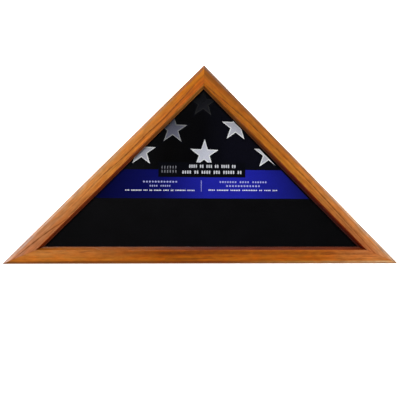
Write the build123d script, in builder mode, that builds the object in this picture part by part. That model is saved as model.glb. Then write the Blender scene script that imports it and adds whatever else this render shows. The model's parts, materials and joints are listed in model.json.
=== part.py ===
"""Triangular wooden display case for a folded flag.

Three mitred rails hold a pane of glass behind a sloped sight edge. Glazing strips keep the pane in
place, a loose printed card stands behind it, and a felt-faced back panel closes the case. Six turn
buttons on the rear of the rails hold the panel, and a steel plate across the apex hangs the case.

Frame: X is the width, -Y is the front, +Z is up. The origin is at the middle of the footprint, on
the surface that the case stands on.
"""
from build123d import *
from collections import namedtuple
from math import sqrt
import os

os.makedirs("parts", exist_ok=True)

# ---- driving dimensions (mm) ----
# Insets are measured square to a side, from its outer face. Depths are measured from the front face.
base_width = 419.1          # 16.5 in along the bottom
case_depth = 76.2           # 3 in, front face to rear face of the rails
face_width = 14.0           # flat front face of a rail
wall = 14.0                 # thickness of a rail behind the glass
opening_inset = 17.5        # edge of the glass opening
slope_foot = (16.1, 5.5)    # inset and depth where the sloped sight edge ends
ledge_depth = 5.8           # narrow ledge between the slope and the opening
lip_back = 7.4              # rear of the lip that the glass rests on
arris_round = 2.4           # outer front edge
fine_round = 0.7            # inner front edge and outer rear edge
rebate_width = 4.0          # rear rebate that the back panel sits in
rebate_depth = 3.6

glass_thick = 2.0
glass_gap = 0.5             # round the pane
glass_arris = 0.2
seat_gap = 0.1              # in front of the pane and behind it
strip_thick = 2.6           # glazing strip, from the wall inwards
strip_depth = 10.0

card_thick = 0.8
card_gap = 0.4              # round the card, and between it and the pane

panel_thick = 3.0
panel_gap = 0.3             # round the back panel, and behind the rebate's shoulder
felt_thick = 1.0
felt_gap = 0.5              # round the felt
tip_round = 3.0             # corners of the panel, the felt and the card

button_thick = 1.5
button_arris = 0.3
button_reach = 20.0         # from the pivot to the centre of the rounded tip
button_pivot_r = 4.3
button_tip_r = 3.2
button_lift = 0.2           # above the rail
button_play = 0.1           # under the screw's head
pivot_clearance = 0.06      # radial, round the screw that a button turns on
button_from_tip = (85.0, 202.0)     # pivots along a leg, from its lower tip
button_from_middle = 110.0          # pivots along the bottom, from its middle

screw_r = 1.5
screw_length = 13.0
screw_point = 2.0
screw_point_r = 0.2
head_r = 3.0
head_high = 1.7
head_round = 1.2
recess_long = 3.4           # cross recess in a head
recess_wide = 0.8
recess_deep = 1.0
snug = 0.02                 # radial, round every fastener in the wood

bumper_r = 4.5
bumper_high = 4.6
bumper_round = 1.6
bumper_from_tip = 236.0             # along a leg
bumper_from_middle = 160.0          # along the bottom

hanger_thick = 1.5
hanger_margin = 0.7         # between the plate's edge and the outside of the rails
hanger_leg = 44.0           # from the apex to the end of a leg
hanger_round = 3.0
hanging_hole_r = 2.5
hanging_recess_r = 3.6      # room in the wood behind the hanging hole
hanging_recess_deep = 7.0
hanger_screw_spots = (24.0, 37.0)   # from the apex

brad_r = 0.6
brad_length = 11.0
brad_head_r = 1.1
brad_head_high = 0.4
brad_spots = (0.22, 0.5, 0.78)      # share of a side's length

nail_spots = (12.0, 19.0)   # V nails across a lower mitre, from the tip
nail_leg = 4.4
nail_thick = 0.8
nail_length = 9.0

tab_length = 36.0           # leather pull tab on the back panel
tab_width = 14.0
tab_thick = 1.2
tab_bottom = 16.0
tab_end_round = 6.9
tab_top_round = 1.5
rivet_from_top = 7.0
rivet_r = 1.4
rivet_head_r = 3.0
rivet_head_high = 0.8
rivet_head_round = 0.5

# ---- worked out ----
half_base = base_width / 2
rise = half_base                                # the apex is a right angle
leg_length = half_base * sqrt(2)
front_y = -(case_depth + bumper_high) / 2
rear_face = wall - rebate_width
rear_middle = rear_face / 2                     # the line that the rear fittings stand on
glass_front = lip_back + seat_gap
strip_front = glass_front + glass_thick + seat_gap
card_front = glass_front + glass_thick + card_gap
panel_front = case_depth - rebate_depth + panel_gap
panel_back = panel_front + panel_thick
button_front = case_depth + button_lift
head_seat = button_front + button_thick + button_play
hanger_back = case_depth + hanger_thick
hanging_z = rise - rear_middle * sqrt(2)
rivet_z = tab_bottom + tab_length - rivet_from_top

backwards = Vector(0, 1, 0)
incentre = Vector(0, 0, half_base / (1 + sqrt(2)))

Side = namedtuple("Side", "name start along inward length")
bottom = Side("bottom", Vector(half_base, 0, 0), Vector(-1, 0, 0), Vector(0, 0, 1), base_width)
left = Side("left", Vector(-half_base, 0, 0), Vector(1, 0, 1).normalized(),
            Vector(1, 0, -1).normalized(), leg_length)
right = Side("right", Vector(0, 0, rise), Vector(1, 0, -1).normalized(),
             Vector(-1, 0, -1).normalized(), leg_length)
sides = (bottom, left, right)


def on_side(side, distance, inset, depth):
    """The point that far along a side, that far inside its outer face and behind the front face."""
    return side.start + side.along * distance + side.inward * inset + backwards * (front_y + depth)


def section_plane(side):
    """Across a side at its start: local x runs inwards and local y backwards."""
    return Plane(origin=on_side(side, 0, 0, 0), x_dir=side.inward, z_dir=side.along)


def rear_plane(side, distance, depth, flip=1):
    """On the middle line of a side's rear face, facing backwards, with local x along the side."""
    return Plane(origin=on_side(side, distance, rear_middle, depth),
                 x_dir=side.along * flip, z_dir=backwards)


def front_plane(depth):
    """The case as seen from the front, at that depth: local x is X and local y is Z."""
    return Plane(origin=(0, front_y + depth, 0), x_dir=(1, 0, 0), z_dir=(0, -1, 0))


def triangle(inset):
    """Corners of the case's outline, moved in by the inset on all three sides."""
    half = half_base - inset * (1 + sqrt(2))
    return [(-half, inset), (half, inset), (0, rise - inset * sqrt(2))]


def mitre_planes(side):
    """The two planes that cut a side's ends, each facing the middle of the side."""
    planes = []
    for corner, towards in ((side.start, side.along),
                            (side.start + side.along * side.length, -side.along)):
        normal = (incentre - corner).cross(backwards).normalized()
        if normal.dot(towards) < 0:
            normal = -normal
        planes.append(Plane(origin=corner, z_dir=normal))
    return planes


def finish(piece, name):
    """Labels a finished piece and writes its STEP file."""
    piece.part.label = name
    export_step(piece.part, f"parts/{name}.step")


# ---- where the fittings stand ----
turn_buttons = {
    "left_lower": (left, button_from_tip[0], 1),
    "left_upper": (left, button_from_tip[1], 1),
    "right_lower": (right, leg_length - button_from_tip[0], -1),
    "right_upper": (right, leg_length - button_from_tip[1], -1),
    "bottom_left": (bottom, half_base + button_from_middle, -1),
    "bottom_right": (bottom, half_base - button_from_middle, 1),
}
button_screw_planes = [rear_plane(side, distance, head_seat)
                       for side, distance, flip in turn_buttons.values()]
hanger_screw_planes = [rear_plane(left, leg_length - spot, hanger_back) for spot in hanger_screw_spots]
hanger_screw_planes += [rear_plane(right, spot, hanger_back) for spot in hanger_screw_spots]
bumper_planes = [
    rear_plane(left, bumper_from_tip, case_depth),
    rear_plane(right, leg_length - bumper_from_tip, case_depth),
    rear_plane(bottom, half_base - bumper_from_middle, case_depth),
    rear_plane(bottom, half_base + bumper_from_middle, case_depth),
]
brad_planes = [
    Plane(origin=on_side(side, side.length * share, wall + strip_thick, strip_front + strip_depth / 2),
          x_dir=backwards, z_dir=side.inward)
    for side in sides for share in brad_spots
]
nail_planes = [
    Plane(origin=corner + (incentre - corner).normalized() * spot + backwards * (front_y + case_depth),
          x_dir=(incentre - corner).normalized(), z_dir=backwards)
    for corner in (left.start, bottom.start) for spot in nail_spots
]

# ---- profiles shared by several pieces ----
with BuildSketch() as rail_section:
    with BuildLine():
        Polyline(
            (0, 0), (face_width, 0), slope_foot, (opening_inset, ledge_depth),
            (opening_inset, lip_back), (wall, lip_back),
            (wall, case_depth - rebate_depth), (rear_face, case_depth - rebate_depth),
            (rear_face, case_depth), (0, case_depth), close=True,
        )
    make_face()
    outer_front, inner_front, outer_rear = (
        rail_section.vertices().sort_by_distance(point)[0]
        for point in ((0, 0), (face_width, 0), (0, case_depth))
    )
    fillet(outer_front, radius=arris_round)
    fillet([inner_front, outer_rear], radius=fine_round)

with BuildSketch() as strip_section:
    with Locations((wall, strip_front)):
        Rectangle(strip_thick, strip_depth, align=Align.MIN)
    fillet(strip_section.vertices().group_by(Axis.X)[-1], radius=fine_round)


def v_nail(grow):
    """Two thin legs at a right angle, opening away from the tip of the case, and larger by grow."""
    with BuildSketch() as shape:
        for turn in (45, -45):
            with Locations(Location((-grow, 0, 0), (0, 0, turn))):
                Rectangle(nail_leg + 2 * grow, nail_thick + 2 * grow, align=(Align.MIN, Align.CENTER))
    return shape.sketch


# ---- rails ----
for side in sides:
    with BuildPart() as rail:
        with BuildSketch(section_plane(side)):
            add(rail_section.sketch)
        extrude(amount=side.length)
        for cut in mitre_planes(side):
            split(bisect_by=cut, keep=Keep.TOP)
        with Locations(*brad_planes):
            Cylinder(brad_r + snug, brad_length + snug, align=(Align.CENTER, Align.CENTER, Align.MAX),
                     mode=Mode.SUBTRACT)
        with Locations(*button_screw_planes, *hanger_screw_planes):
            Cylinder(screw_r + snug, screw_length + snug, align=(Align.CENTER, Align.CENTER, Align.MAX),
                     mode=Mode.SUBTRACT)
        for plane in nail_planes:
            with BuildSketch(plane):
                add(v_nail(snug))
            extrude(amount=-(nail_length + snug), mode=Mode.SUBTRACT)
        with BuildSketch(front_plane(case_depth)):
            with Locations((0, hanging_z)):
                Circle(hanging_recess_r)
        extrude(amount=hanging_recess_deep, mode=Mode.SUBTRACT)
    finish(rail, f"{side.name}_rail")

# ---- glass, with the strips and brads that hold it ----
with BuildPart() as glass_pane:
    with BuildSketch(front_plane(glass_front)):
        Polygon(*triangle(wall + glass_gap), align=None)
    extrude(amount=-glass_thick)
    chamfer(glass_pane.edges().filter_by(Axis.Y, reverse=True), length=glass_arris)
finish(glass_pane, "glass_pane")

for side in sides:
    with BuildPart() as strip:
        with BuildSketch(section_plane(side)):
            add(strip_section.sketch)
        extrude(amount=side.length)
        for cut in mitre_planes(side):
            split(bisect_by=cut, keep=Keep.TOP)
        with Locations(*brad_planes):
            Cylinder(brad_r + snug, brad_length, align=(Align.CENTER, Align.CENTER, Align.MAX),
                     mode=Mode.SUBTRACT)
            Cylinder(brad_head_r + snug, brad_head_high, align=(Align.CENTER, Align.CENTER, Align.MAX),
                     mode=Mode.SUBTRACT)
    finish(strip, f"{side.name}_glazing_strip")

with BuildPart() as glazing_brads:
    with Locations(*brad_planes):
        Cylinder(brad_r, brad_length, align=(Align.CENTER, Align.CENTER, Align.MAX))
        Cylinder(brad_head_r, brad_head_high, align=(Align.CENTER, Align.CENTER, Align.MAX))
finish(glazing_brads, "glazing_brads")

# ---- steel V nails across the lower mitres ----
with BuildPart() as corner_v_nails:
    for plane in nail_planes:
        with BuildSketch(plane):
            add(v_nail(0))
        extrude(amount=-nail_length)
finish(corner_v_nails, "corner_v_nails")

# ---- printed card behind the glass ----
with BuildPart() as printed_card:
    with BuildSketch(front_plane(card_front)) as outline:
        Polygon(*triangle(wall + strip_thick + card_gap), align=None)
        fillet(outline.vertices(), radius=tip_round)
    extrude(amount=-card_thick)
finish(printed_card, "printed_card")

# ---- back panel, its felt facing and its pull tab ----
with BuildPart() as back_panel:
    with BuildSketch(front_plane(panel_front)) as outline:
        Polygon(*triangle(rear_face + panel_gap), align=None)
        fillet(outline.vertices(), radius=tip_round)
    extrude(amount=-panel_thick)
    with Locations(Plane(origin=(0, front_y + panel_front, rivet_z), z_dir=backwards)):
        Cylinder(rivet_r + snug, panel_thick, align=(Align.CENTER, Align.CENTER, Align.MIN),
                 mode=Mode.SUBTRACT)
        Cylinder(rivet_head_r + snug, rivet_head_high + snug,
                 align=(Align.CENTER, Align.CENTER, Align.MIN), mode=Mode.SUBTRACT)
finish(back_panel, "back_panel")

with BuildPart() as felt_facing:
    with BuildSketch(front_plane(panel_front - felt_thick)) as outline:
        Polygon(*triangle(wall + felt_gap), align=None)
        fillet(outline.vertices(), radius=tip_round)
    extrude(amount=-felt_thick)
finish(felt_facing, "felt_facing")

with BuildPart() as pull_tab:
    with BuildSketch(front_plane(panel_back)) as outline:
        with Locations((0, tab_bottom)):
            Rectangle(tab_width, tab_length, align=(Align.CENTER, Align.MIN))
        fillet(outline.vertices().group_by(Axis.Y)[0], radius=tab_end_round)
        fillet(outline.vertices().group_by(Axis.Y)[-1], radius=tab_top_round)
        with Locations((0, rivet_z)):
            Circle(rivet_r + snug, mode=Mode.SUBTRACT)
    extrude(amount=-tab_thick)
finish(pull_tab, "pull_tab")

with BuildPart() as tab_rivet:
    with Locations(Plane(origin=(0, front_y + panel_front, rivet_z), z_dir=backwards)):
        Cylinder(rivet_r, panel_thick + tab_thick + rivet_head_high,
                 align=(Align.CENTER, Align.CENTER, Align.MIN))
        Cylinder(rivet_head_r, rivet_head_high, align=(Align.CENTER, Align.CENTER, Align.MIN))
    with Locations(Plane(origin=(0, front_y + panel_back + tab_thick, rivet_z), z_dir=backwards)):
        Cylinder(rivet_head_r, rivet_head_high, align=(Align.CENTER, Align.CENTER, Align.MIN))
    fillet(tab_rivet.edges().filter_by(GeomType.CIRCLE).sort_by(Axis.Y)[-1], radius=rivet_head_round)
finish(tab_rivet, "tab_rivet")

# ---- turn buttons and the screws that they turn on ----
for name, (side, distance, flip) in turn_buttons.items():
    with BuildPart() as button:
        with BuildSketch(rear_plane(side, distance, button_front, flip)):
            Circle(button_pivot_r)
            with Locations((button_reach, 0)):
                Circle(button_tip_r)
            make_hull()
            Circle(screw_r + pivot_clearance, mode=Mode.SUBTRACT)
        extrude(amount=button_thick)
        chamfer(button.faces().sort_by(Axis.Y)[-1].outer_wire().edges(), length=button_arris)
    finish(button, f"turn_button_{name}")

with BuildPart() as pan_screw:
    Cylinder(screw_r, screw_length - screw_point, align=(Align.CENTER, Align.CENTER, Align.MAX))
    with Locations((0, 0, screw_point - screw_length)):
        Cone(screw_point_r, screw_r, screw_point, align=(Align.CENTER, Align.CENTER, Align.MAX))
    Cylinder(head_r, head_high, align=(Align.CENTER, Align.CENTER, Align.MIN))
    fillet(pan_screw.edges().filter_by(GeomType.CIRCLE).sort_by(Axis.Z)[-1], radius=head_round)
    with Locations((0, 0, head_high)):
        Box(recess_long, recess_wide, 2 * recess_deep, mode=Mode.SUBTRACT)
        Box(recess_wide, recess_long, 2 * recess_deep, mode=Mode.SUBTRACT)

with BuildPart() as turn_button_screws:
    with Locations(*button_screw_planes):
        add(pan_screw.part)
finish(turn_button_screws, "turn_button_screws")

# ---- hanging plate across the apex, with its countersunk screws ----
apex_plane = Plane(origin=on_side(right, 0, 0, case_depth), x_dir=right.along, z_dir=backwards)
plate_edge = rear_face - hanger_margin
screw_pairs = [pair for spot in hanger_screw_spots for pair in ((spot, rear_middle), (rear_middle, spot))]

with BuildPart() as hanger_plate:
    with BuildSketch(apex_plane) as outline:
        with BuildLine():
            Polyline(
                (hanger_margin, hanger_margin), (hanger_leg, hanger_margin), (hanger_leg, plate_edge),
                (plate_edge, plate_edge), (plate_edge, hanger_leg), (hanger_margin, hanger_leg),
                close=True,
            )
        make_face()
        fillet(outline.vertices(), radius=hanger_round)
        with Locations((rear_middle, rear_middle)):
            Circle(hanging_hole_r, mode=Mode.SUBTRACT)
        with Locations(*screw_pairs):
            Circle(screw_r + snug, mode=Mode.SUBTRACT)
    extrude(amount=hanger_thick)
    with Locations(*hanger_screw_planes):
        Cone(screw_r + snug, head_r + snug, hanger_thick, align=(Align.CENTER, Align.CENTER, Align.MAX),
             mode=Mode.SUBTRACT)
finish(hanger_plate, "hanger_plate")

with BuildPart() as flat_screw:
    Cylinder(screw_r, screw_length - screw_point, align=(Align.CENTER, Align.CENTER, Align.MAX))
    with Locations((0, 0, screw_point - screw_length)):
        Cone(screw_point_r, screw_r, screw_point, align=(Align.CENTER, Align.CENTER, Align.MAX))
    Cone(screw_r, head_r, hanger_thick, align=(Align.CENTER, Align.CENTER, Align.MAX))
    Box(recess_long, recess_wide, 2 * recess_deep, mode=Mode.SUBTRACT)
    Box(recess_wide, recess_long, 2 * recess_deep, mode=Mode.SUBTRACT)

with BuildPart() as hanger_screws:
    with Locations(*hanger_screw_planes):
        add(flat_screw.part)
finish(hanger_screws, "hanger_screws")

# ---- rubber bumpers that keep the fittings off the wall ----
with BuildPart() as bumper:
    Cylinder(bumper_r, bumper_high, align=(Align.CENTER, Align.CENTER, Align.MIN))
    fillet(bumper.edges().filter_by(GeomType.CIRCLE).sort_by(Axis.Z)[-1], radius=bumper_round)

with BuildPart() as wall_bumpers:
    with Locations(*bumper_planes):
        add(bumper.part)
finish(wall_bumpers, "wall_bumpers")
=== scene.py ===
import json
import math
import bmesh
import bpy
import numpy as np
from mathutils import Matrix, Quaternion, Vector


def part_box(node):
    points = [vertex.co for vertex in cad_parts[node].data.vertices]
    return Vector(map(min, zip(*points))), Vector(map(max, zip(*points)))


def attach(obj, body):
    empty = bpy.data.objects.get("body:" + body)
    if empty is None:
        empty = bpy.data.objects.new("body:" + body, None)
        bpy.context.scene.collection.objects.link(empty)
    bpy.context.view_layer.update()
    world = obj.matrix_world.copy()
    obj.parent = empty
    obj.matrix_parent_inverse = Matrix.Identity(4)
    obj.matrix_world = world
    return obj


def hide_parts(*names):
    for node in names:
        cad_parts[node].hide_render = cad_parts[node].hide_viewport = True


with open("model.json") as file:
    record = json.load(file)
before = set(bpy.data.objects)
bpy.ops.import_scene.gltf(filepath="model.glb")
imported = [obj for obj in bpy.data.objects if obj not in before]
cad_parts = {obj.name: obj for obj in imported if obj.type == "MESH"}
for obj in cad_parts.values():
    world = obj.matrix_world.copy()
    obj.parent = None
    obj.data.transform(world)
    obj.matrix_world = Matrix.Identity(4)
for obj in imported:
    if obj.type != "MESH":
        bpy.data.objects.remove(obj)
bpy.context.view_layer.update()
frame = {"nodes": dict(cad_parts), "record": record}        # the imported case: rails, pane, card, back and fittings
nodes = frame["nodes"]
mm = 0.001
root2 = math.sqrt(2)

# The case's own sizes, read from the frame. Depth runs back from the front face.
baseLow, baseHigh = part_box("bottom_rail")
halfBase, frontY = baseHigh.x, baseLow.y
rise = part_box("left_rail")[1].z
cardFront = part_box("printed_card")[0].y
print("case loaded:", len(nodes), "nodes")

cameraLook = {
    "azimuth": -5.9,      # degrees; negative stands to the left
    "elevation": -0.5,
    "distance": 1.2,      # from the front face
    "lens": 102.55,
    "sensor": 36.0,
    "roll": 0.185,
    "aimX": -0.0041,
    "aimZ": 0.0670,
}
floorLook = {
    "low": -0.0004,       # a little under the case, so that the two faces don't meet
    "wide": 3.0, "front": -2.2, "bend": 1.1, "high": 2.2, "radius": 0.9, "steps": 24,
    "tone": 0.9, "glow": 0.55,
}
# where each soft light stands, how large it is, its power, and the point it faces
lightLook = {
    "key": {"at": (-0.22, -1.95, 1.25), "size": (1.0, 0.7), "power": 52.0, "to": (0, 0, 0.09)},
    "fill": {"at": (1.5, -1.5, 0.9), "size": (0.5, 0.6), "power": 5.0, "to": (0, 0, 0.09)},
    "top": {"at": (0.0, -0.55, 1.7), "size": (1.4, 0.8), "power": 20.0, "to": (0, 0, 0.0)},
    "rear": {"at": (0.5, 1.7, 0.8), "size": (1.4, 0.9), "power": 20.0, "to": (0, 0, 0.1)},
}


# The camera stands off its aim along the view's direction, and rolls about it.
def placeCamera(look):
    aim = Vector((look["aimX"], frontY, look["aimZ"]))
    a, e = math.radians(look["azimuth"]), math.radians(look["elevation"])
    back = Vector((math.sin(a) * math.cos(e), -math.cos(a) * math.cos(e), math.sin(e)))
    data = bpy.data.cameras.new("camera")
    data.lens, data.sensor_width = look["lens"], look["sensor"]
    camera = bpy.data.objects.new("camera", data)
    bpy.context.scene.collection.objects.link(camera)
    camera.location = aim + back * look["distance"]
    camera.rotation_mode = "QUATERNION"
    roll = Quaternion((0, 0, 1), math.radians(look["roll"]))
    camera.rotation_quaternion = (-back).to_track_quat("-Z", "Y") @ roll
    bpy.context.scene.camera = camera


# Soft rectangular lamps, each turned to face its point.
def placeLights(looks):
    for name, look in looks.items():
        data = bpy.data.lights.new(name, "AREA")
        data.shape = "RECTANGLE"
        data.size, data.size_y = look["size"]
        data.energy = look["power"]
        lamp = bpy.data.objects.new(name, data)
        bpy.context.scene.collection.objects.link(lamp)
        lamp.location = look["at"]
        lamp.rotation_euler = (Vector(look["to"]) - lamp.location).to_track_quat("-Z", "Y").to_euler()


# A shader node. A socket given as an input is linked, and anything else is set on the input.
def addNode(tree, kind, inputs=None, **settings):
    made = tree.nodes.new(kind)
    for key, value in settings.items():
        setattr(made, key, value)
    for key, value in (inputs or {}).items():
        if isinstance(value, bpy.types.NodeSocket):
            tree.links.new(value, made.inputs[key])
        else:
            made.inputs[key].default_value = value
    return made


# One sum of two values, as a node.
def maths(tree, operation, a, b=0.0, clamp=False):
    return addNode(tree, "ShaderNodeMath", {0: a, 1: b}, operation=operation, use_clamp=clamp).outputs[0]


# The range from low to high made to run from toLow to toHigh, and held at those past its ends.
def remap(tree, value, low, high, toLow=0.0, toHigh=1.0):
    return addNode(tree, "ShaderNodeMapRange", {"Value": value, "From Min": low, "From Max": high,
                                                "To Min": toLow, "To Max": toHigh}).outputs[0]


# Brightness between two parts of a direction's height ("up", "below") or depth ("behind"): from, to, and
# the brightness at each.
worldLook = {
    "up": (0.3, 0.9, 0.008, 0.40),
    "below": (-0.15, -0.7, 0.0, 0.85),
    "behind": (0.5, 0.85, 0.0, 0.40),
}


# White to the eye. What shines back is dark at eye level in front, and brighter overhead and behind.
def makeWorld(look):
    world = bpy.data.worlds.new("studio")
    bpy.context.scene.world = world
    world.use_nodes = True
    tree = world.node_tree
    tree.nodes.clear()
    path = addNode(tree, "ShaderNodeLightPath")
    seen = addNode(tree, "ShaderNodeBackground", {"Color": (1, 1, 1, 1), "Strength": 1.0})
    direction = addNode(tree, "ShaderNodeTexCoord").outputs["Generated"]
    parts = addNode(tree, "ShaderNodeSeparateXYZ", {"Vector": direction}).outputs
    glow = maths(tree, "ADD", remap(tree, parts["Z"], *look["up"]), remap(tree, parts["Z"], *look["below"]))
    glow = maths(tree, "ADD", glow, remap(tree, parts["Y"], *look["behind"]))
    lit = addNode(tree, "ShaderNodeBackground", {"Color": (1, 1, 1, 1), "Strength": glow})
    both = addNode(tree, "ShaderNodeMixShader", {0: path.outputs["Is Camera Ray"],
                                                 1: lit.outputs[0], 2: seen.outputs[0]})
    addNode(tree, "ShaderNodeOutputWorld", {"Surface": both.outputs[0]})


# A mesh object of these points and faces, standing at the origin.
def meshPiece(name, points, faces, smooth=True):
    data = bpy.data.meshes.new(name)
    data.from_pydata(np.asarray(points, float).reshape(-1, 3).tolist(), [], [list(f) for f in faces])
    data.validate()
    data.polygons.foreach_set("use_smooth", np.full(len(data.polygons), smooth))
    data.update()
    made = bpy.data.objects.new(name, data)
    bpy.context.scene.collection.objects.link(made)
    return made


# Quads of a grid of rows times columns points, wrapped round where it closes on itself.
def gridFaces(rows, columns, closeRows=False, closeColumns=False):
    i = np.arange(rows if closeRows else rows - 1)[:, None]
    j = np.arange(columns if closeColumns else columns - 1)[None, :]
    nextI, nextJ = (i + 1) % rows, (j + 1) % columns
    corners = [i * columns + j, i * columns + nextJ, nextI * columns + nextJ, nextI * columns + j]
    return np.stack(np.broadcast_arrays(*corners), -1).reshape(-1, 4)


# A flat floor that bends up into a wall: x runs across and the profile is flat, arc, upright.
def makeFloor(look):
    turn = np.linspace(0, math.pi / 2, look["steps"])
    y = np.concatenate([[look["front"]], look["bend"] + look["radius"] * np.sin(turn),
                        [look["bend"] + look["radius"]]])
    z = look["low"] + np.concatenate([[0], look["radius"] * (1 - np.cos(turn)), [look["high"]]])
    x = np.array([-look["wide"], look["wide"]])
    points = np.stack([np.broadcast_to(x[None, :], (len(y), 2)), np.repeat(y[:, None], 2, 1),
                       np.repeat(z[:, None], 2, 1)], -1)
    floor = meshPiece("floor", points, gridFaces(len(y), 2))
    paint = bpy.data.materials.new("palePaper")
    paint.use_nodes = True
    tree = paint.node_tree
    tree.nodes.clear()
    matte = addNode(tree, "ShaderNodeBsdfDiffuse", {"Color": (look["tone"],) * 3 + (1,)})
    glow = addNode(tree, "ShaderNodeEmission", {"Color": (1, 1, 1, 1), "Strength": look["glow"]})
    both = addNode(tree, "ShaderNodeAddShader", {0: matte.outputs[0], 1: glow.outputs[0]})
    addNode(tree, "ShaderNodeOutputMaterial", {"Surface": both.outputs[0]})
    floor.data.materials.append(paint)
    # it throws no light up at the case
    floor.visible_glossy = floor.visible_diffuse = floor.visible_shadow = False


bpy.context.scene.view_settings.view_transform = "Standard"
placeCamera(cameraLook)
placeLights(lightLook)
makeWorld(worldLook)
makeFloor(floorLook)
print("camera, lights and floor in place")


# An empty material with its shader, the point on the piece in metres, and its node tree.
def newMaterial(name):
    material = bpy.data.materials.new(name)
    material.use_nodes = True
    tree = material.node_tree
    tree.nodes.clear()
    shader = addNode(tree, "ShaderNodeBsdfPrincipled")
    addNode(tree, "ShaderNodeOutputMaterial", {"Surface": shader.outputs[0]})
    place = addNode(tree, "ShaderNodeTexCoord").outputs["Object"]
    return material, tree, shader, place


# How far the point lies in that direction.
def along(tree, place, direction):
    made = addNode(tree, "ShaderNodeVectorMath", {0: place, 1: tuple(direction)}, operation="DOT_PRODUCT")
    return made.outputs["Value"]


# The three lengths, each times its scale, as one vector.
def stretched(tree, parts, scales):
    scaled = [maths(tree, "MULTIPLY", part, scale) for part, scale in zip(parts, scales)]
    return addNode(tree, "ShaderNodeCombineXYZ", dict(enumerate(scaled))).outputs[0]


# Smooth noise from 0 to 1.
def noise(tree, vector, scale=1.0, detail=3.0, roughness=0.55):
    return addNode(tree, "ShaderNodeTexNoise", {"Vector": vector, "Scale": scale, "Detail": detail,
                                                "Roughness": roughness}).outputs[0]


# A colour ramp: stops are (place, grey or colour).
def ramp(tree, value, stops):
    made = addNode(tree, "ShaderNodeValToRGB", {"Fac": value})
    elements = made.color_ramp.elements
    while len(elements) < len(stops):
        elements.new(0.5)
    for element, (place, colour) in zip(elements, stops):
        element.position = place
        element.color = (*colour, 1) if hasattr(colour, "__len__") else (colour, colour, colour, 1)
    return made.outputs[0]


# Two colours mixed. The sockets of a Mix node for colours are 6 and 7, and its result is 2.
def mixed(tree, share, a, b, blend="MIX"):
    def colour(value):
        return value if isinstance(value, bpy.types.NodeSocket) else (*value, 1)
    return addNode(tree, "ShaderNodeMix", {0: share, 6: colour(a), 7: colour(b)},
                   data_type="RGBA", blend_type=blend).outputs[2]


# Relief: a height from 0 to 1, how strongly it shows, and how deep it is in metres.
def bump(tree, shader, height, strength, distance):
    made = addNode(tree, "ShaderNodeBump", {"Height": height, "Strength": strength, "Distance": distance})
    tree.links.new(made.outputs[0], shader.inputs["Normal"])


# Values that are the same all over, on the shader's own sockets.
def setShader(shader, **values):
    names = {"rough": "Roughness", "metal": "Metallic", "shine": "Specular IOR Level",
             "coat": "Coat Weight", "coatRough": "Coat Roughness",
             "sheen": "Sheen Weight", "sheenRough": "Sheen Roughness"}
    for key, value in values.items():
        shader.inputs[names[key]].default_value = value


# Each rail: a corner that it starts from, its direction, the direction into the case and its length.
slope = 1 / root2
leg = halfBase * root2
railSides = {
    "bottom": {"start": (halfBase, 0, 0), "along": (-1, 0, 0), "inward": (0, 0, 1), "long": 2 * halfBase},
    "left": {"start": (-halfBase, 0, 0), "along": (slope, 0, slope), "inward": (slope, 0, -slope),
             "long": leg},
    "right": {"start": (0, 0, rise), "along": (slope, 0, -slope), "inward": (-slope, 0, -slope),
              "long": leg},
}
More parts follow.
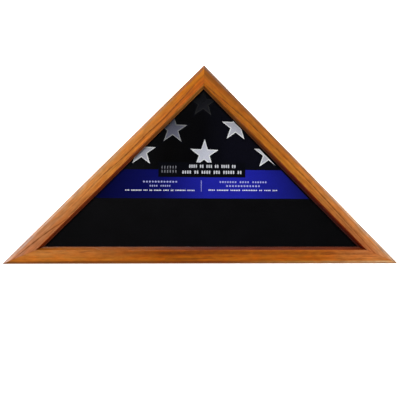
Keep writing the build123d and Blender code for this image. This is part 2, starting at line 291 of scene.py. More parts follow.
# Tones are linear colours at shares of a rail's length, from its start: "outer" and "inner" are the two
# sides of the face, whose hazier, bluer stops at the lower ends are painted sheen; "edge" is the rounded outer edge,
# painted with highlight where pale and with shade where dark; and "sight" is the slope beside the pane, at its
# front, painted with its shade, and with light where pale. A growth line is a path of points (distance along the
# rail, inset), its darkness at distances along the rail, and its half width, all in millimetres. "deep" is how
# bright the painted shade leaves the sight edge beside the pane, "gap" is the room of three weak lines, in
# millimetres, and "seed" sets the rail's own noise apart.
railLook = {
    "left": {
        "outer": [(0.05, (0.42, 0.17, 0.09)), (0.40, (0.50, 0.21, 0.06)), (0.90, (0.40, 0.12, 0.002))],
        "inner": [(0.05, (0.35, 0.12, 0.05)), (0.50, (0.41, 0.14, 0.02)), (0.90, (0.32, 0.07, 0.002))],
        "edge": [(0.05, (0.58, 0.42, 0.36)), (0.50, (0.42, 0.27, 0.16)), (0.90, (0.12, 0.03, 0.002))],
        "sight": [(0.15, (0.48, 0.07, 0.003)), (0.55, (0.50, 0.07, 0.001)), (0.90, (0.95, 0.35, 0.05))],
        "deep": 0.25, "line": (0.13, 0.030, 0.004), "gap": 6.6, "seed": 1.3,
        "lines": [
            {"path": [(0, 1.6), (62, 3.4), (82, 7.4), (99, 8.4), (140, 7.8), (171, 9.4), (201, 9.3),
                      (220, 10.2), (256, 8.9), (296, 6.4)],
             "dark": [(40, 0.0), (75, 0.35), (130, 0.60), (165, 0.95), (235, 1.0), (275, 0.60)],
             "half": 0.55},
            {"path": [(0, 3.0), (11, 4.4), (38, 7.0), (53, 8.9), (76, 13.0), (110, 18.8)],
             "dark": [(8, 0.3), (20, 0.8), (55, 1.0), (72, 0.6), (90, 0.0)], "half": 0.55},
            {"path": [(0, 0.2), (30, 1.2), (55, 3.0), (80, 8.0), (100, 12.0), (120, 18.0)],
             "dark": [(12, 0.0), (30, 0.35), (70, 0.30), (95, 0.0)], "half": 0.50},
        ],
    },
    "right": {
        "outer": [(0.05, (0.18, 0.05, 0.003)), (0.20, (0.24, 0.07, 0.006)), (0.50, (0.45, 0.14, 0.02)),
                  (0.95, (0.48, 0.20, 0.07))],
        "inner": [(0.10, (0.33, 0.09, 0.003)), (0.50, (0.34, 0.12, 0.012)), (0.95, (0.36, 0.11, 0.04))],
        "edge": [(0.10, (0.11, 0.09, 0.07)), (0.30, (0.12, 0.06, 0.025)), (0.90, (0.36, 0.30, 0.24))],
        "sight": [(0.10, (0.95, 0.28, 0.02)), (0.50, (0.34, 0.025, 0.001)), (0.85, (0.38, 0.03, 0.001))],
        "deep": 0.12, "line": (0.11, 0.028, 0.004), "gap": 7.4, "seed": 4.1,
        "lines": [
            {"path": [(0, 16.6), (27, 13.2), (53, 10.5), (79, 8.5), (123, 7.5), (163, 7.2), (201, 8.1),
                      (262, 10.1), (296, 11.6)],
             "dark": [(18, 0.8), (60, 1.0), (85, 1.0), (130, 0.8), (200, 0.9), (262, 0.6)], "half": 0.55},
            {"path": [(0, 6.6), (10, 5.6), (25, 3.9), (38, 2.6), (60, 0.4), (90, 0.0)],
             "dark": [(0, 0.4), (20, 0.5), (38, 0.3), (50, 0.0)], "half": 0.50},
            {"path": [(150, 11.5), (190, 10.6), (230, 11.4), (262, 12.6), (296, 14.0)],
             "dark": [(150, 0.0), (190, 0.35), (250, 0.45), (270, 0.1)], "half": 0.60},
        ],
    },
    "bottom": {
        "outer": [(0.03, (0.41, 0.14, 0.03)), (0.20, (0.34, 0.08, 0.004)), (0.60, (0.31, 0.08, 0.002)),
                  (0.90, (0.45, 0.13, 0.012))],
        "inner": [(0.03, (0.45, 0.15, 0.05)), (0.20, (0.34, 0.09, 0.008)), (0.60, (0.20, 0.04, 0.001)),
                  (0.90, (0.40, 0.14, 0.03))],
        "edge": [(0.06, (0.72, 0.45, 0.22)), (0.24, (0.40, 0.22, 0.05)), (0.45, (0.10, 0.02, 0.001)),
                 (0.90, (0.10, 0.03, 0.001))],
        "sight": [(0.15, (0.11, 0.016, 0.001)), (0.50, (0.08, 0.010, 0.001)), (0.85, (0.23, 0.06, 0.001))],
        "deep": 0.85, "line": (0.10, 0.022, 0.003), "gap": 8.0, "seed": 7.7,
        "lines": [
            {"path": [(0, 9.0), (48, 10.4), (150, 10.8), (230, 11.2), (300, 10.6), (419, 9.0)],
             "dark": [(30, 0.15), (80, 0.55), (190, 0.60), (235, 1.0), (262, 0.45), (330, 0.10)],
             "half": 1.6},
            {"path": [(170, 5.6), (205, 5.2), (228, 4.9), (250, 5.3), (290, 5.8)],
             "dark": [(195, 0.0), (216, 0.70), (238, 0.80), (252, 0.0)], "half": 0.80},
            {"path": [(0, 4.2), (120, 3.2), (228, 2.6), (300, 3.4), (419, 4.6)],
             "dark": [(60, 0.0), (130, 0.25), (230, 0.40), (300, 0.15), (360, 0.25)], "half": 0.45},
            {"path": [(150, 13.4), (205, 13.3), (260, 13.4)],
             "dark": [(180, 0.0), (195, 0.8), (215, 0.8), (232, 0.0)], "half": 0.7},
        ],
    },
}
woodLook = {
    "sideStep": (0.30, 3.0),    # how the lines move inwards with depth: in step, and with its square
    "ripple": 0.9,              # how far a line strays from its path, in millimetres
    "core": (1.2, 0.6),         # a line fades between these shares of its half width
    "shade": (3.0, 0.20),       # its soft shade: how far it reaches, and how dark it is
    "weak": 0.34,               # darkness of the weak lines between the strong ones, at most
    "weakDeep": 1.5,            # how much darker they are on the sides of the case
    "weakAcross": [(0.0, 1.0), (0.06, 0.45), (0.14, 0.0), (0.6, 0.0), (0.9, 0.3), (1.0, 1.0)],
    "drift": 14.0,              # how far lines wander there, in millimetres
    "faceFrom": 0.003,          # insets between which the outer tone turns into the inner tone
    "faceTo": 0.0115,
    "mottle": (0.80, 1.16),     # light and dark patches
    "streak": (0.77, 1.18),
    "figure": (0.92, 1.08),
    "warm": (1.05, 0.94, 0.76),     # patches of two hues
    "cool": (0.97, 1.05, 1.12),
    "pore": 0.35,               # how dark pores and flecks are
    "fleck": 0.44,
    "mitre": 0.30,
    "side": (0.36, 0.125, 0.022),   # tone of the sides and back
    "rough": (0.27, 0.37),
    "sightRough": 0.25,         # how much duller the sight edge is
    "relief": {"streak": 0.35, "pore": 0.8, "line": 0.4, "strength": 0.35, "deep": 0.00012},
    "finish": {"coat": 0.10, "coatRough": 0.14, "shine": 0.12},
}
# How fine each noise is along the rail, across it and in depth, per metre.
woodNoise = {
    "ripple": (60, 160, 90), "drift": (6, 18, 22), "broken": (190, 300, 300), "figure": (16, 55, 30),
    "mottle": (95, 360, 260), "streak": (11, 520, 520), "pore": (130, 3000, 3000), "fleck": (60, 600, 600),
    "hue": (60, 240, 200),
}
sightFrom = (0.0138, 0.0146)    # insets between which the face turns into the sight edge
sightShadeDepths = (0.0004, 0.0054)    # depths over which the painted shade on the sight edge deepens towards the pane
pathRange = 20.0                # insets of a path run from 0 to this, in millimetres


# A smooth curve through given points: both the value and the result run from 0 to 1.
def curveOf(tree, value, points):
    made = addNode(tree, "ShaderNodeFloatCurve", {"Value": value})
    curve = made.mapping.curves[0].points
    curve[0].location, curve[1].location = points[0], points[-1]
    for point in points[1:-1]:
        curve.new(*point)
    made.mapping.update()
    return made.outputs[0]


# How dark a growth line makes the wood: full close to its path, none a little past its half width, and a
# soft shade further out. Also gives the distance from the path, in millimetres.
def growthLine(tree, share, inset, line, long):
    path = curveOf(tree, share, [(at * mm / long, across / pathRange) for at, across in line["path"]])
    away = maths(tree, "SUBTRACT", maths(tree, "DIVIDE", inset, mm),
                 maths(tree, "MULTIPLY", path, pathRange))
    near = maths(tree, "ABSOLUTE", away)
    outer, inner = woodLook["core"]
    core = remap(tree, near, line["half"] * outer, line["half"] * inner)
    shade = remap(tree, near, line["half"] * woodLook["shade"][0], 0.0, 0.0, woodLook["shade"][1])
    strength = curveOf(tree, share, [(at * mm / long, dark) for at, dark in line["dark"]])
    return maths(tree, "MULTIPLY", maths(tree, "MAXIMUM", core, shade), strength), away


# A point of a rail as lengths along it, into the case and back from its face.
def railPlace(tree, place, side):
    start = np.array(side["start"], float) + (0, frontY, 0)
    fromStart = addNode(tree, "ShaderNodeVectorMath", {0: place, 1: tuple(start)},
                        operation="SUBTRACT").outputs[0]
    return [along(tree, fromStart, way) for way in (side["along"], side["inward"], (0, 1, 0))]


# A noise of the wood, drawn out along the grain.
def woodGrain(tree, grain, name, detail, roughness=0.55):
    return noise(tree, stretched(tree, grain, woodNoise[name]), detail=detail, roughness=roughness)


# Where a point lies among the growth lines: its inset, which grows with depth and its square, and strays
# with the ripple and, away from the face, with the drift.
def lineInset(tree, grain):
    v, w = grain[1:]
    ripple = maths(tree, "SUBTRACT", woodGrain(tree, grain, "ripple", 4.0), 0.5)
    inStep, squared = woodLook["sideStep"]
    inset = maths(tree, "ADD", v, maths(tree, "MULTIPLY", w, inStep))
    inset = maths(tree, "ADD", inset, maths(tree, "MULTIPLY", maths(tree, "POWER", w, 2.0), squared))
    inset = maths(tree, "ADD", inset, maths(tree, "MULTIPLY", ripple, woodLook["ripple"] * mm))
    drift = maths(tree, "SUBTRACT", woodGrain(tree, grain, "drift", 2.0), 0.5)
    drift = maths(tree, "MULTIPLY", drift, remap(tree, w, 0.004, 0.03, 0.0, woodLook["drift"] * mm))
    return maths(tree, "ADD", inset, drift)


# The darkness of all growth lines: the darker of the strong ones, on their paths, and the weak ones
# between, which are counted out from the first path and differ by luck. Both are broken up along the grain.
def growthLines(tree, grain, share, look, long):
    w = grain[2]
    inset = lineInset(tree, grain)
    broken = remap(tree, woodGrain(tree, grain, "broken", 2.0), 0.36, 0.58, 0.55, 1.0)
    shades, away = zip(*[growthLine(tree, share, inset, line, long) for line in look["lines"]])
    strong = shades[0]
    for shade in shades[1:]:
        strong = maths(tree, "MAXIMUM", strong, shade)
    # a hundred keeps the count above zero, and the rest shifts the weak lines by that share of a step
    count = maths(tree, "ADD", maths(tree, "DIVIDE", away[0], look["gap"] / 3), 100.06)
    drawn = maths(tree, "ADD", maths(tree, "FLOOR", count), look["seed"])
    luck = addNode(tree, "ShaderNodeTexWhiteNoise", {"W": drawn}, noise_dimensions="1D").outputs["Value"]
    weak = ramp(tree, maths(tree, "FRACT", count), woodLook["weakAcross"])
    deeper = remap(tree, w, 0.003, 0.02, woodLook["weak"], woodLook["weak"] * woodLook["weakDeep"])
    weak = maths(tree, "MULTIPLY", weak, maths(tree, "MULTIPLY", luck, deeper))
    strong = maths(tree, "MULTIPLY", strong, remap(tree, w, 0.004, 0.02, 1.0, 0.55))
    return maths(tree, "MULTIPLY", maths(tree, "MAXIMUM", strong, weak), broken)


# The rail's tones: outer turns into inner across the face, the rounded edge has its own, which are painted highlight
# and painted shade, and the sides have theirs too.
def railTone(tree, grain, share, look):
    v, w = grain[1:]
    # outer and inner tones are the wood's own, except for their hazier, bluer stops at the lower ends, which are
    # painted sheen
    tone = mixed(tree, remap(tree, v, woodLook["faceFrom"], woodLook["faceTo"]),
                 ramp(tree, share, look["outer"]), ramp(tree, share, look["inner"]))
    fromEdge = maths(tree, "ADD", v, maths(tree, "MULTIPLY", w, 3.0))
    # the rounded edge's tones are painted highlight where pale and painted shade where dark
    tone = mixed(tree, remap(tree, fromEdge, 0.0034, 0.0014), tone, ramp(tree, share, look["edge"]))
    return mixed(tree, remap(tree, w, 0.004, 0.014, 0.0, 0.85), tone, woodLook["side"])


# A thin dark line where the rail meets its neighbour, on the plane through its corner and the case's
# middle.
def mitreLines(tree, place, side, base, dark):
    begin = np.array(side["start"], float)
    for corner in (begin, begin + np.array(side["along"]) * side["long"]):
        toMiddle = np.array([0.0, 0.0, halfBase / (1 + root2)]) - corner
        normal = np.cross(toMiddle, (0, 1, 0))
        normal /= np.linalg.norm(normal)
        off = maths(tree, "ABSOLUTE", maths(tree, "SUBTRACT", along(tree, place, normal),
                                            float(corner @ normal)))
        joint = remap(tree, off, 0.00035, 0.0001)
        base = mixed(tree, maths(tree, "MULTIPLY", joint, woodLook["mitre"]), base, dark)
    return base


# The wood of a rail: tones, patches that differ in lightness and in hue, growth lines, pores and flecks,
# and painted shade on the sight edge, deeper towards the pane, with painted light where its tones are pale.
def railWood(name, side, look):
    material, tree, shader, place = newMaterial(name)
    u, v, w = railPlace(tree, place, side)
    share = maths(tree, "DIVIDE", u, side["long"])
    grain = (maths(tree, "ADD", u, look["seed"]), v, w)
    dark = growthLines(tree, grain, share, look, side["long"])
    base = railTone(tree, grain, share, look)

    figure = woodGrain(tree, grain, "figure", 3.0)
    mottle = woodGrain(tree, grain, "mottle", 3.0, 0.6)
    streak = woodGrain(tree, grain, "streak", 4.0)
    pores = remap(tree, woodGrain(tree, grain, "pore", 1.0), 0.64, 0.74)
    fleck = remap(tree, woodGrain(tree, grain, "fleck", 2.0), 0.54, 0.66)
    flecks = maths(tree, "MULTIPLY", fleck, remap(tree, figure, 0.4, 0.6, 0.2, 1.0))
    glow = maths(tree, "MULTIPLY", remap(tree, mottle, 0.32, 0.68, *woodLook["mottle"]),
                 remap(tree, streak, 0.28, 0.72, *woodLook["streak"]))
    glow = maths(tree, "MULTIPLY", glow, remap(tree, figure, 0.3, 0.7, *woodLook["figure"]))
    hue = woodGrain(tree, grain, "hue", 2.0)
    tint = mixed(tree, remap(tree, hue, 0.36, 0.64), woodLook["warm"], woodLook["cool"])
    patchy = addNode(tree, "ShaderNodeVectorMath", {0: tint, "Scale": glow}, operation="SCALE").outputs[0]
    base = mixed(tree, 1.0, base, patchy, "MULTIPLY")
    base = mixed(tree, dark, base, look["line"])
    base = mixed(tree, maths(tree, "MULTIPLY", pores, woodLook["pore"]), base, look["line"])
    base = mixed(tree, maths(tree, "MULTIPLY", flecks, woodLook["fleck"]), base, look["line"])

    # painted shade on the sight edge: its tone paints light and shade along the rail, and it darkens towards the
    # pane
    mottledPaneShade = maths(tree, "MULTIPLY", glow, remap(tree, w, *sightShadeDepths, 1.0, look["deep"]))
    sightLitAndShadedTone = ramp(tree, share, look["sight"])
    sightPaintedTone = addNode(tree, "ShaderNodeVectorMath", {0: sightLitAndShadedTone, "Scale": mottledPaneShade},
                      operation="SCALE").outputs[0]
    sight = maths(tree, "MULTIPLY", remap(tree, v, *sightFrom), remap(tree, w, 0.010, 0.008))
    base = mitreLines(tree, place, side, mixed(tree, sight, base, sightPaintedTone), look["line"])
    tree.links.new(base, shader.inputs["Base Color"])

    rough = maths(tree, "ADD", remap(tree, streak, 0.25, 0.75, *woodLook["rough"]),
                  maths(tree, "MULTIPLY", sight, woodLook["sightRough"]))
    tree.links.new(rough, shader.inputs["Roughness"])
    relief = woodLook["relief"]
    height = maths(tree, "SUBTRACT", maths(tree, "MULTIPLY", streak, relief["streak"]),
                   maths(tree, "MULTIPLY", pores, relief["pore"]))
    height = maths(tree, "SUBTRACT", height, maths(tree, "MULTIPLY", dark, relief["line"]))
    bump(tree, shader, height, relief["strength"], relief["deep"])
    setShader(shader, **woodLook["finish"])
    return material


glassLook = {"clear": (0.975, 0.98, 0.98), "rough": 0.015, "bends": 1.5}


# A clean pane: what is behind shows straight through, and a little shines back off each face.
def thinGlass(name, look):
    material, tree, shader = newMaterial(name)[:3]
    tree.nodes.remove(shader)
    clear = addNode(tree, "ShaderNodeBsdfTransparent", {"Color": (*look["clear"], 1)})
    gloss = addNode(tree, "ShaderNodeBsdfGlossy", {"Color": (1, 1, 1, 1), "Roughness": look["rough"]})
    # Light that comes from inside the pane has the inverse ratio, because nothing here bends it.
    inside = addNode(tree, "ShaderNodeNewGeometry").outputs["Backfacing"]
    ratio = remap(tree, inside, 0.0, 1.0, look["bends"], 1 / look["bends"])
    share = addNode(tree, "ShaderNodeFresnel", {"IOR": ratio})
    both = addNode(tree, "ShaderNodeMixShader", {0: share.outputs[0], 1: clear.outputs[0],
                                                 2: gloss.outputs[0]})
    output = next(n for n in tree.nodes if n.type == "OUTPUT_MATERIAL")
    tree.links.new(both.outputs[0], output.inputs["Surface"])
    return material


# A plain stuff with two sizes of mottling, for board, felt, rubber, leather and thread.
def speckled(name, look):
    material, tree, shader, place = newMaterial(name)
    coarse = noise(tree, place, look["coarse"], 4.0, 0.6)
    fine = noise(tree, place, look["fine"], 3.0, 0.65)
    grainy = look["grainy"]
    blend = maths(tree, "ADD", maths(tree, "MULTIPLY", coarse, 1 - grainy),
                  maths(tree, "MULTIPLY", fine, grainy))
    share = remap(tree, blend, 0.36, 0.64)
    base = mixed(tree, share, look["dark"], look["light"])
    if "rim" in look:
        rim = addNode(tree, "ShaderNodeAttribute", attribute_name="rim").outputs["Fac"]
        base = mixed(tree, remap(tree, rim, look["rimWide"], 0.2, 0.0, 0.85), base, look["rim"])
    tree.links.new(base, shader.inputs["Base Color"])
    tree.links.new(remap(tree, fine, 0.3, 0.7, *look["rough"]), shader.inputs["Roughness"])
    bump(tree, shader, fine, look["bump"], look["deep"])
    setShader(shader, **look.get("shader", {}))
    return material


speckledLook = {
    "hardboard": {"coarse": 22, "fine": 520, "grainy": 0.72, "dark": (0.085, 0.042, 0.019),
                  "light": (0.29, 0.165, 0.080), "rough": (0.62, 0.85), "bump": 0.4, "deep": 0.0002},
    "black_felt": {"coarse": 90, "fine": 2600, "grainy": 0.5, "dark": (0.006, 0.006, 0.007),
                   "light": (0.022, 0.022, 0.025), "rough": (0.9, 1.0), "bump": 0.8, "deep": 0.0004,
                   "shader": {"sheen": 0.5, "sheenRough": 0.45, "shine": 0.1}},
    "bumper_rubber": {"coarse": 300, "fine": 3000, "grainy": 0.5, "dark": (0.012, 0.012, 0.012),
                      "light": (0.028, 0.027, 0.026), "rough": (0.55, 0.75), "bump": 0.2, "deep": 0.0001},
    "tab_leather": {"coarse": 160, "fine": 1300, "grainy": 0.55, "dark": (0.17, 0.062, 0.019),
                    "light": (0.42, 0.19, 0.070), "rough": (0.38, 0.6), "bump": 0.6, "deep": 0.0002,
                    # burnished at the rim, and this far in, in millimetres
                    "rim": (0.045, 0.016, 0.006), "rimWide": 1.0},
    "tab_thread": {"coarse": 900, "fine": 4000, "grainy": 0.6, "dark": (0.34, 0.27, 0.17),
                   "light": (0.66, 0.57, 0.42), "rough": (0.6, 0.8), "bump": 0.5, "deep": 0.0001},
}


cardLook = {
    "ink": [(0.0008, 0.0007, 0.0011), (0.0015, 0.0014, 0.0020)],
    "board": [(0.36, 0.34, 0.30), (0.52, 0.50, 0.46)],
    "inkDeep": 0.00012,
    "cloud": 40, "fibre": (900, 900, 3000),
    "rough": (0.24, 0.85),      # of the ink and of the bare board
    "bump": 0.12, "deep": 0.00004, "shine": 0.25,
}
axes = ((1, 0, 0), (0, 1, 0), (0, 0, 1))


# Grey board with a smooth printed face: what lies deeper than the ink shows the board's fibres.
def printedCard(name, look):
    material, tree, shader, place = newMaterial(name)
    cloud = noise(tree, place, look["cloud"], 3.0)
    parts = [along(tree, place, axis) for axis in axes]
    fibre = noise(tree, stretched(tree, parts, look["fibre"]), detail=4.0)
    depth = maths(tree, "SUBTRACT", parts[1], cardFront)
    bare = remap(tree, depth, look["inkDeep"], look["inkDeep"] * 1.5)
    printed = mixed(tree, remap(tree, cloud, 0.35, 0.65), *look["ink"])
    board = mixed(tree, remap(tree, fibre, 0.35, 0.65), *look["board"])
    tree.links.new(mixed(tree, bare, printed, board), shader.inputs["Base Color"])
    tree.links.new(remap(tree, bare, 0.0, 1.0, *look["rough"]), shader.inputs["Roughness"])
    bump(tree, shader, fibre, look["bump"], look["deep"])
    setShader(shader, shine=look["shine"])
    return material


# Plated or polished metal: fine drawn lines one way and soft cloudy patches.
def metal(name, look):
    material, tree, shader, place = newMaterial(name)
    parts = [along(tree, place, axis) for axis in axes]
    cloud = noise(tree, place, look["cloud"], 3.0)
    lines = noise(tree, stretched(tree, parts, look["draw"]), 1.0, 3.0)
    tree.links.new(mixed(tree, remap(tree, cloud, 0.35, 0.65), look["dark"], look["light"]),
                   shader.inputs["Base Color"])
    mark = maths(tree, "ADD", maths(tree, "MULTIPLY", lines, 0.6), maths(tree, "MULTIPLY", cloud, 0.4))
    tree.links.new(remap(tree, mark, 0.35, 0.65, *look["rough"]), shader.inputs["Roughness"])
    bump(tree, shader, lines, look["bump"], look["deep"])
    setShader(shader, metal=1.0)
    return material


metalLook = {
    "zinc_steel": {"cloud": 220, "draw": (500, 500, 6000), "dark": (0.52, 0.53, 0.55),
                   "light": (0.66, 0.67, 0.68), "rough": (0.24, 0.42), "bump": 0.15, "deep": 0.00005},
    "rivet_brass": {"cloud": 500, "draw": (3000, 3000, 3000), "dark": (0.60, 0.38, 0.13),
                    "light": (0.80, 0.56, 0.24), "rough": (0.18, 0.34), "bump": 0.15, "deep": 0.00005},
}
finishes = {name: speckled(name, look) for name, look in speckledLook.items()}
finishes.update({name: metal(name, look) for name, look in metalLook.items()})
finishes["clear_glass"] = thinGlass("clear_glass", glassLook)
finishes["card_print"] = printedCard("card_print", cardLook)
railFinish = {name: railWood(name + "_wood", railSides[name], look) for name, look in railLook.items()}


# Gives a piece its one material.
def dress(piece, material):
    piece.data.materials.clear()
    piece.data.materials.append(material)


slotOf = {row["node"]: row["material_slot"] for row in frame["record"]["subparts"]}
for nodeName, piece in nodes.items():
    side = nodeName.split("_")[0]
    if slotOf[nodeName] in ("rail_wood", "strip_wood"):
        dress(piece, railFinish[side])
    else:
        dress(piece, finishes[slotOf[nodeName]])
print("finishes made:", len(bpy.data.materials))

# The card's print is thin layers of ink. Lengths on the card are in millimetres here.
inkStep = 0.04 * mm       # one layer over another
starLook = {
    "turn": -1.6,         # degrees
    "edge": 0.9,          # pale line round a star
    "halo": 1.2,          # black line round that
    "inner": 0.381966,    # the inner corners' share of the radius
    "flank": 0.309,       # how far a point's sides lie from the centre, as a share of the radius
    "fade": (0.5, 0, -0.866),    # the direction in which a star grows paler
    "cool": (1.14, 1.34),        # how blue the pale stars and the dim stars are
    "between": 0.2,              # the tone that parts them
    # centre x and z, radius, tone where it is dim and where it is pale, rim's tone, and the fold that cuts
    # it: x + z
    "stars": {
        "top": (0.0, 169.9, 15.4, 0.0018, 0.0110, 0.018, 400.0),
        "upperLeft": (-32.2, 142.1, 16.1, 0.030, 0.135, 0.26, 400.0),
        "upperRight": (35.1, 145.3, 16.0, 0.34, 0.44, 0.80, 183.6),
        "lowerLeft": (-65.4, 118.3, 15.9, 0.23, 0.38, 0.70, 400.0),
        "middle": (1.35, 116.0, 15.8, 0.39, 0.53, 0.80, 400.0),
        "lowerRight": (70.6, 116.4, 16.8, 0.38, 0.48, 0.84, 182.2),
    },
}


# Ten corners, five at the radius and five at the inner share of it, the first one up, all turned.
def starOutline(centre, radius, turn):
    angle = math.pi / 2 + np.radians(turn) + np.arange(10) * math.pi / 5
    reach = np.where(np.arange(10) % 2 == 0, radius, radius * starLook["inner"])
    return np.stack([centre[0] + reach * np.cos(angle), centre[1] + reach * np.sin(angle)], -1)


# The part of an outline where its dot product with the normal is at most the limit.
def cutAway(outline, normal, limit):
    over = outline @ np.array(normal, float) - limit
    following, nextOver = np.roll(outline, -1, 0), np.roll(over, -1)
    crossing = over * nextOver < 0
    share = np.where(crossing, over / np.where(crossing, over - nextOver, 1.0), 0.0)[:, None]
    met = outline + (following - outline) * share
    pairs = np.stack([outline, met], 1).reshape(-1, 2)
    return pairs[np.stack([over <= 0, crossing], 1).reshape(-1)]


# The part of an outline that lies that far inside both legs of the case.
def insideCase(outline, inset):
    reach = (rise / mm) / root2 - inset
    return cutAway(cutAway(outline, (-slope, slope), reach), (slope, slope), reach)


# Four corners of an upright rectangle.
def bar(low, high, left, right):
    return np.array([[left, low], [right, low], [right, high], [left, high]], float)


# Front, back and rim of an outline that is drawn twice, front points first.
def slabFaces(count):
    around = np.arange(count)
    rim = np.stack([around, (around + 1) % count, (around + 1) % count + count, around + count], -1)
    return [list(around)[::-1], list(around + count)] + rim.tolist()


# Flat closed shapes on the card's face, that many layers thick, in one piece. All have as many corners.
def inkShapes(name, outlines, layer, material):
    outlines = np.asarray(outlines, float) * mm
    number, corners = outlines.shape[:2]
    depth = np.array([cardFront - layer * inkStep, cardFront])[None, :, None]
    x, z = outlines[:, None, :, 0], outlines[:, None, :, 1]
    points = np.stack(np.broadcast_arrays(x, depth, z), -1)
    faces = [np.array(face) + shape * 2 * corners for shape in range(number) for face in slabFaces(corners)]
    piece = meshPiece(name, points, faces, smooth=False)
    dress(piece, material)
    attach(piece, "card")
    return piece


inkLook = {"grain": 420, "grainBy": (0.96, 1.04), "cloud": 60, "rough": (0.16, 0.175), "shine": 0.25}


# Printed ink that fades along a direction, from one end of the span to the other, with a fine grain.
def inkMaterial(name, stops, direction=(1, 0, 0), span=(0, 100)):
    material, tree, shader, place = newMaterial(name)
    share = remap(tree, along(tree, place, direction), span[0] * mm, span[1] * mm)
    grain = remap(tree, noise(tree, place, inkLook["grain"], 3.0), 0.3, 0.7, *inkLook["grainBy"])
    tinted = addNode(tree, "ShaderNodeVectorMath", {0: ramp(tree, share, stops), "Scale": grain},
                     operation="SCALE").outputs[0]
    tree.links.new(tinted, shader.inputs["Base Color"])
    cloud = noise(tree, place, inkLook["cloud"], 2.0)
    tree.links.new(remap(tree, cloud, 0.3, 0.7, *inkLook["rough"]), shader.inputs["Roughness"])
    setShader(shader, shine=inkLook["shine"])
    return material


blackInk = inkMaterial("black_ink", [(0, (0.0014, 0.0016, 0.0034)), (1, (0.0018, 0.0020, 0.0040))])
for starName, (x, z, radius, dim, pale, rimTone, fold) in starLook["stars"].items():
    foot = float(np.dot(starLook["fade"], (x, 0, z)))
    span = (foot - radius, foot + radius)
    cool = starLook["cool"][0 if pale > starLook["between"] else 1]
    fill = inkMaterial("ink_" + starName, [(0.1, (dim, dim, dim * cool)), (0.9, (pale, pale, pale * cool))],
                       starLook["fade"], span)
    rim = inkMaterial("rim_" + starName, [(0.2, (rimTone * dim / pale,) * 3), (0.8, (rimTone,) * 3)],
                      starLook["fade"], span)
    layers = ((2, starLook["halo"], blackInk), (3, 0.0, rim), (4, -starLook["edge"], fill))
    for layer, grow, material in layers:
        outline = starOutline((x, z), radius + grow / starLook["flank"], starLook["turn"])
        outline = cutAway(outline, (slope, slope), fold * slope + grow)
        inkShapes(f"star_{starName}_{layer}", [outline], layer, material)
print("stars printed")

# Each reaches a little way inside the legs of the case, and to the fold, where x + z has that value.
printLook = {
    "navy_field": {
        "low": 99.2, "high": 186.0, "inset": 17.9, "fold": 183.2, "span": (-90, 90), "ink": "navy_ink",
        "tones": [(0.0, (0.0050, 0.0050, 0.0062)), (0.28, (0.0008, 0.0007, 0.0008)),
                  (0.50, (0.0005, 0.0005, 0.0012)), (0.66, (0.0024, 0.0024, 0.0058)),
                  (1.0, (0.0030, 0.0030, 0.0070))],
    },
    "blue_band": {
        "low": 68.8, "high": 99.2, "inset": 17.9, "fold": 183.2, "span": (-112, 112), "ink": "band_ink",
        "tones": [(0.0, (0.0008, 0.0014, 0.028)), (0.30, (0.0026, 0.0036, 0.090)),
                  (0.52, (0.012, 0.015, 0.30)), (0.70, (0.012, 0.015, 0.32)), (1.0, (0.006, 0.008, 0.12))],
    },
}
for printName, look in printLook.items():
    printed = insideCase(bar(look["low"], look["high"], -halfBase / mm, halfBase / mm), look["inset"])
    printed = cutAway(printed, (slope, slope), look["fold"] * slope)
    inkShapes(printName, [printed], 1, inkMaterial(look["ink"], look["tones"], (1, 0, 0), look["span"]))

# the label and the line between the two texts: low, high, left, right
labelLook = {"plate": (91.4, 107.0, -47.5, 45.4), "divider": (76.2, 87.9, -2.05, -1.55)}
inkShapes("label_plate", [bar(*labelLook["plate"])], 5, blackInk)
paleInk = inkMaterial("pale_ink", [(0, (0.80, 0.80, 0.86)), (1, (0.84, 0.84, 0.90))])
softInk = inkMaterial("soft_ink", [(0, (0.52, 0.52, 0.56)), (1, (0.56, 0.56, 0.60))])
dimInk = inkMaterial("dim_ink", [(0, (0.34, 0.35, 0.62)), (1, (0.40, 0.41, 0.68))])
greyInk = inkMaterial("grey_ink", [(0, (0.16, 0.16, 0.18)), (1, (0.20, 0.20, 0.22))])
inkShapes("divider", [bar(*labelLook["divider"])], 2, dimInk)

# Rows of small plain blocks stand where a maker prints words: left, right, low, high, how much of its
# room a block fills, ink, layer, and the number of blocks in each group.
blockRows = {
    "size_one": (-15.2, 35.2, 101.2, 104.6, 0.62, softInk, 6, (4, 2, 3, 2, 4, 2)),
    "size_two": (-22.6, 41.7, 94.9, 98.3, 0.62, softInk, 6, (4, 2, 4, 3, 5, 2)),
    "mark_one": (-45.0, -27.5, 100.2, 103.2, 0.34, greyInk, 6, (6,)),
    "mark_two": (-45.0, -27.5, 95.9, 98.9, 0.40, greyInk, 6, (6,)),
    "left_one": (-64.3, -26.9, 85.4, 87.2, 0.60, dimInk, 2, (12,)),
    "left_two": (-57.1, -34.3, 81.1, 82.9, 0.60, dimInk, 2, (4, 5)),
    "left_three": (-82.8, -8.7, 76.7, 77.9, 0.66, paleInk, 2, (3, 7, 3, 2, 5, 4, 2, 7, 5)),
    "right_one": (17.3, 68.7, 85.4, 87.2, 0.60, dimInk, 2, (7, 4, 6)),
    "right_two": (24.3, 61.7, 81.2, 83.0, 0.60, dimInk, 2, (12,)),
    "right_three": (5.7, 80.1, 77.0, 78.2, 0.66, paleInk, 2, (4, 7, 6, 9, 2, 4, 3)),
}


blockCut = 0.22           # how much of a block's width its corners are cut by


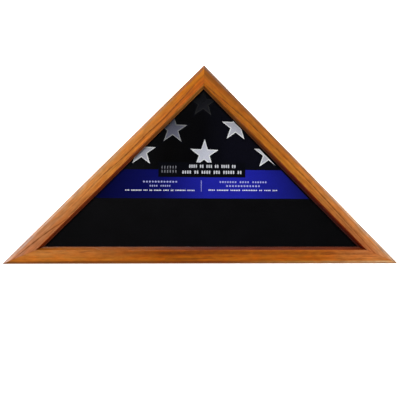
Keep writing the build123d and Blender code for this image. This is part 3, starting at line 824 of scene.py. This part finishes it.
# Eight-cornered blocks at an even step, with one step left empty between groups.
def blockOutlines(left, right, low, high, fill, groups):
    filled = np.concatenate([np.append(np.ones(group), 0) for group in groups])[:-1]
    step = (right - left) / len(filled)
    middle = left + (np.flatnonzero(filled) + 0.5) * step
    half, cut = step * fill / 2, step * fill * blockCut
    x = np.array([-half + cut, half - cut, half, half, half - cut, cut - half, -half, -half])
    z = np.array([low, low, low + cut, high - cut, high, high, high - cut, low + cut])
    return np.stack(np.broadcast_arrays(middle[:, None] + x[None, :], z[None, :]), -1)


for rowName, (left, right, low, high, fill, ink, layer, groups) in blockRows.items():
    inkShapes("blocks_" + rowName, blockOutlines(left, right, low, high, fill, groups), layer, ink)
print("band, label and blocks printed")

# The pull tab, in millimetres: a tongue of leather pinned by its rivet, with a pressed line and stitches.
tabLow, tabHigh = (np.array(corner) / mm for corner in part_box("pull_tab"))
rivetLow, rivetHigh = (np.array(corner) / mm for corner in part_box("tab_rivet"))
rivetZ = (rivetLow[2] + rivetHigh[2]) / 2
tabLook = {
    "footRound": 6.9,     # corner radii at the free end and at the pinned end
    "headRound": 1.5,
    "dome": 0.55,         # the rim is rounded this far in
    "lift": 0.7,          # how far the free end stands off the panel
    "liftFrom": 5.0,      # this far below the rivet
    "creaseIn": 1.2, "creaseWide": 0.24, "creaseDeep": 0.12,
    "swell": 0.10,        # the leather rises round the rivet, on a ring of this radius and width
    "swellAt": 4.2, "swellWide": 0.9,
    "seamIn": 2.4, "seamRound": 0.6, "stitch": 2.3, "pitch": 3.5, "thread": 0.30,
    "stand": 0.45, "dip": 1.7, "taper": 0.3,    # a stitch's middle, its ends and how much thinner they are
    "rows": 96, "columns": 48, "stitchRings": 9, "stitchSides": 10,
}


# How far a point lies inside a tongue that is that much smaller all round than the tab.
def insideTab(x, z, smaller=0.0):
    look = tabLook
    middle = (tabLow[2] + tabHigh[2]) / 2
    corner = np.where(z < middle, look["footRound"], look["headRound"])
    across = np.abs(x) - (tabHigh[0] - corner)
    upward = np.abs(z - middle) - ((tabHigh[2] - tabLow[2]) / 2 - corner)
    beyond = np.hypot(np.maximum(across, 0), np.maximum(upward, 0))
    return corner - beyond - np.minimum(np.maximum(across, upward), 0) - smaller


# Depth of the outer or the under face. Half the thickness follows a quarter circle in from the rim. The
# free end lifts with the square of its distance from the pin. The outer face has the crease and the
# swelling.
def tabDepth(x, z, outer):
    look = tabLook
    inside = insideTab(x, z)
    half = (tabHigh[1] - tabLow[1]) / 2
    dome = np.sqrt(1 - (1 - np.clip(inside / look["dome"], 0, 1)) ** 2)
    start = rivetZ - look["liftFrom"]
    lift = look["lift"] * (np.clip(start - z, 0, None) / (start - tabLow[2])) ** 2
    y = (tabLow[1] + half) + (half if outer else -half) * dome + lift
    if outer:
        y = y - look["creaseDeep"] * np.exp(-((inside - look["creaseIn"]) / look["creaseWide"]) ** 2)
        ring = np.hypot(x, z - rivetZ) - look["swellAt"]
        y = y + look["swell"] * np.exp(-(ring / look["swellWide"]) ** 2)
    return y


# Rows up the tab and points across each row, both spaced by a cosine, so that they lie closer at the rims.
# A row's half width falls along a quarter circle in each corner.
def makeTab(look):
    low, high = tabLow[2], tabHigh[2]
    z = (low + high) / 2 - (high - low) / 2 * np.cos(np.linspace(0, math.pi, look["rows"]))
    foot = np.clip(look["footRound"] - (z - low), 0, None)
    head = np.clip(look["headRound"] - (high - z), 0, None)
    wide = tabHigh[0] - np.where(foot > 0, look["footRound"] - np.sqrt(look["footRound"] ** 2 - foot ** 2),
                                 look["headRound"] - np.sqrt(look["headRound"] ** 2 - head ** 2))
    across = -np.cos(np.linspace(0, math.pi, look["columns"] + 1))
    x = wide[:, None] * across[None, :]
    z = np.repeat(z[:, None], x.shape[1], 1)
    outer = np.stack([x, tabDepth(x, z, True), z], -1)
    under = np.stack([x, tabDepth(x, z, False), z], -1)
    points = np.concatenate([outer, under[:, -2:0:-1]], 1)
    tab = meshPiece("leather_tab", points * mm, gridFaces(*points.shape[:2], closeColumns=True))
    work = bmesh.new()
    work.from_mesh(tab.data)
    bmesh.ops.remove_doubles(work, verts=work.verts, dist=0.004 * mm)
    bmesh.ops.recalc_face_normals(work, faces=work.faces)
    work.to_mesh(tab.data)
    work.free()
    placed = np.empty(len(tab.data.vertices) * 3)
    tab.data.vertices.foreach_get("co", placed)
    placed = placed.reshape(-1, 3) / mm
    rim = tab.data.attributes.new("rim", "FLOAT", "POINT")
    rim.data.foreach_set("value", insideTab(placed[:, 0], placed[:, 2]))
    return tab


# Short lengths of thread along a path that runs round inside the rim, with quarter circles at its corners.
# Each one is a tube whose ends dip into the leather: its height and its radius fall with the fourth power
# of the distance from its middle.
def makeStitches(look):
    inset = look["seamIn"]
    foot, head = look["footRound"] - inset, look["seamRound"]
    right, low, high = tabHigh[0] - inset, tabLow[2] + inset, tabHigh[2] - inset
    quarter = np.linspace(0, math.pi / 2, 20)
    corners = ((right - foot, low + foot, foot, -1), (right - head, high - head, head, 0),
               (head - right, high - head, head, 1), (foot - right, low + foot, foot, 2))
    path = np.concatenate([np.stack([x + r * np.cos(quarter + k * math.pi / 2),
                                     z + r * np.sin(quarter + k * math.pi / 2)], -1)
                           for x, z, r, k in corners])
    path = np.concatenate([path, path[:1]])
    gone = np.concatenate([[0], np.cumsum(np.hypot(*np.diff(path, axis=0).T))])
    number = int(round(gone[-1] / look["pitch"]))
    part = np.linspace(-1, 1, look["stitchRings"])
    at = (np.arange(number)[:, None] + 0.5) * gone[-1] / number + part[None, :] * look["stitch"] / 2
    x, z = np.interp(at, gone, path[:, 0]), np.interp(at, gone, path[:, 1])
    heading = np.stack([np.gradient(x, axis=1), np.gradient(z, axis=1)], -1)
    heading /= np.linalg.norm(heading, axis=-1, keepdims=True)
    y = tabDepth(x, z, True) + look["thread"] * (look["stand"] - look["dip"] * part[None, :] ** 4)
    turn = np.linspace(0, 2 * math.pi, look["stitchSides"], endpoint=False)
    reach = look["thread"] * (1 - look["taper"] * part ** 4)[None, :, None]
    points = np.stack([x[..., None] - heading[..., 1, None] * reach * np.cos(turn),
                       y[..., None] + reach * np.sin(turn),
                       z[..., None] + heading[..., 0, None] * reach * np.cos(turn)], -1)
    ring = np.arange(len(turn))
    one = gridFaces(len(part), len(turn), closeColumns=True).tolist()
    one += [list(ring)[::-1], list(ring + (len(part) - 1) * len(turn))]
    faces = [np.array(face) + k * len(part) * len(turn) for k in range(number) for face in one]
    return meshPiece("tab_stitches", points * mm, faces)


leatherTab = makeTab(tabLook)
stitches = makeStitches(tabLook)
dress(leatherTab, finishes["tab_leather"])
dress(stitches, finishes["tab_thread"])
for piece in (leatherTab, stitches):
    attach(piece, "back")
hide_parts("pull_tab")
print("pull tab made:", len(leatherTab.data.polygons), "faces")
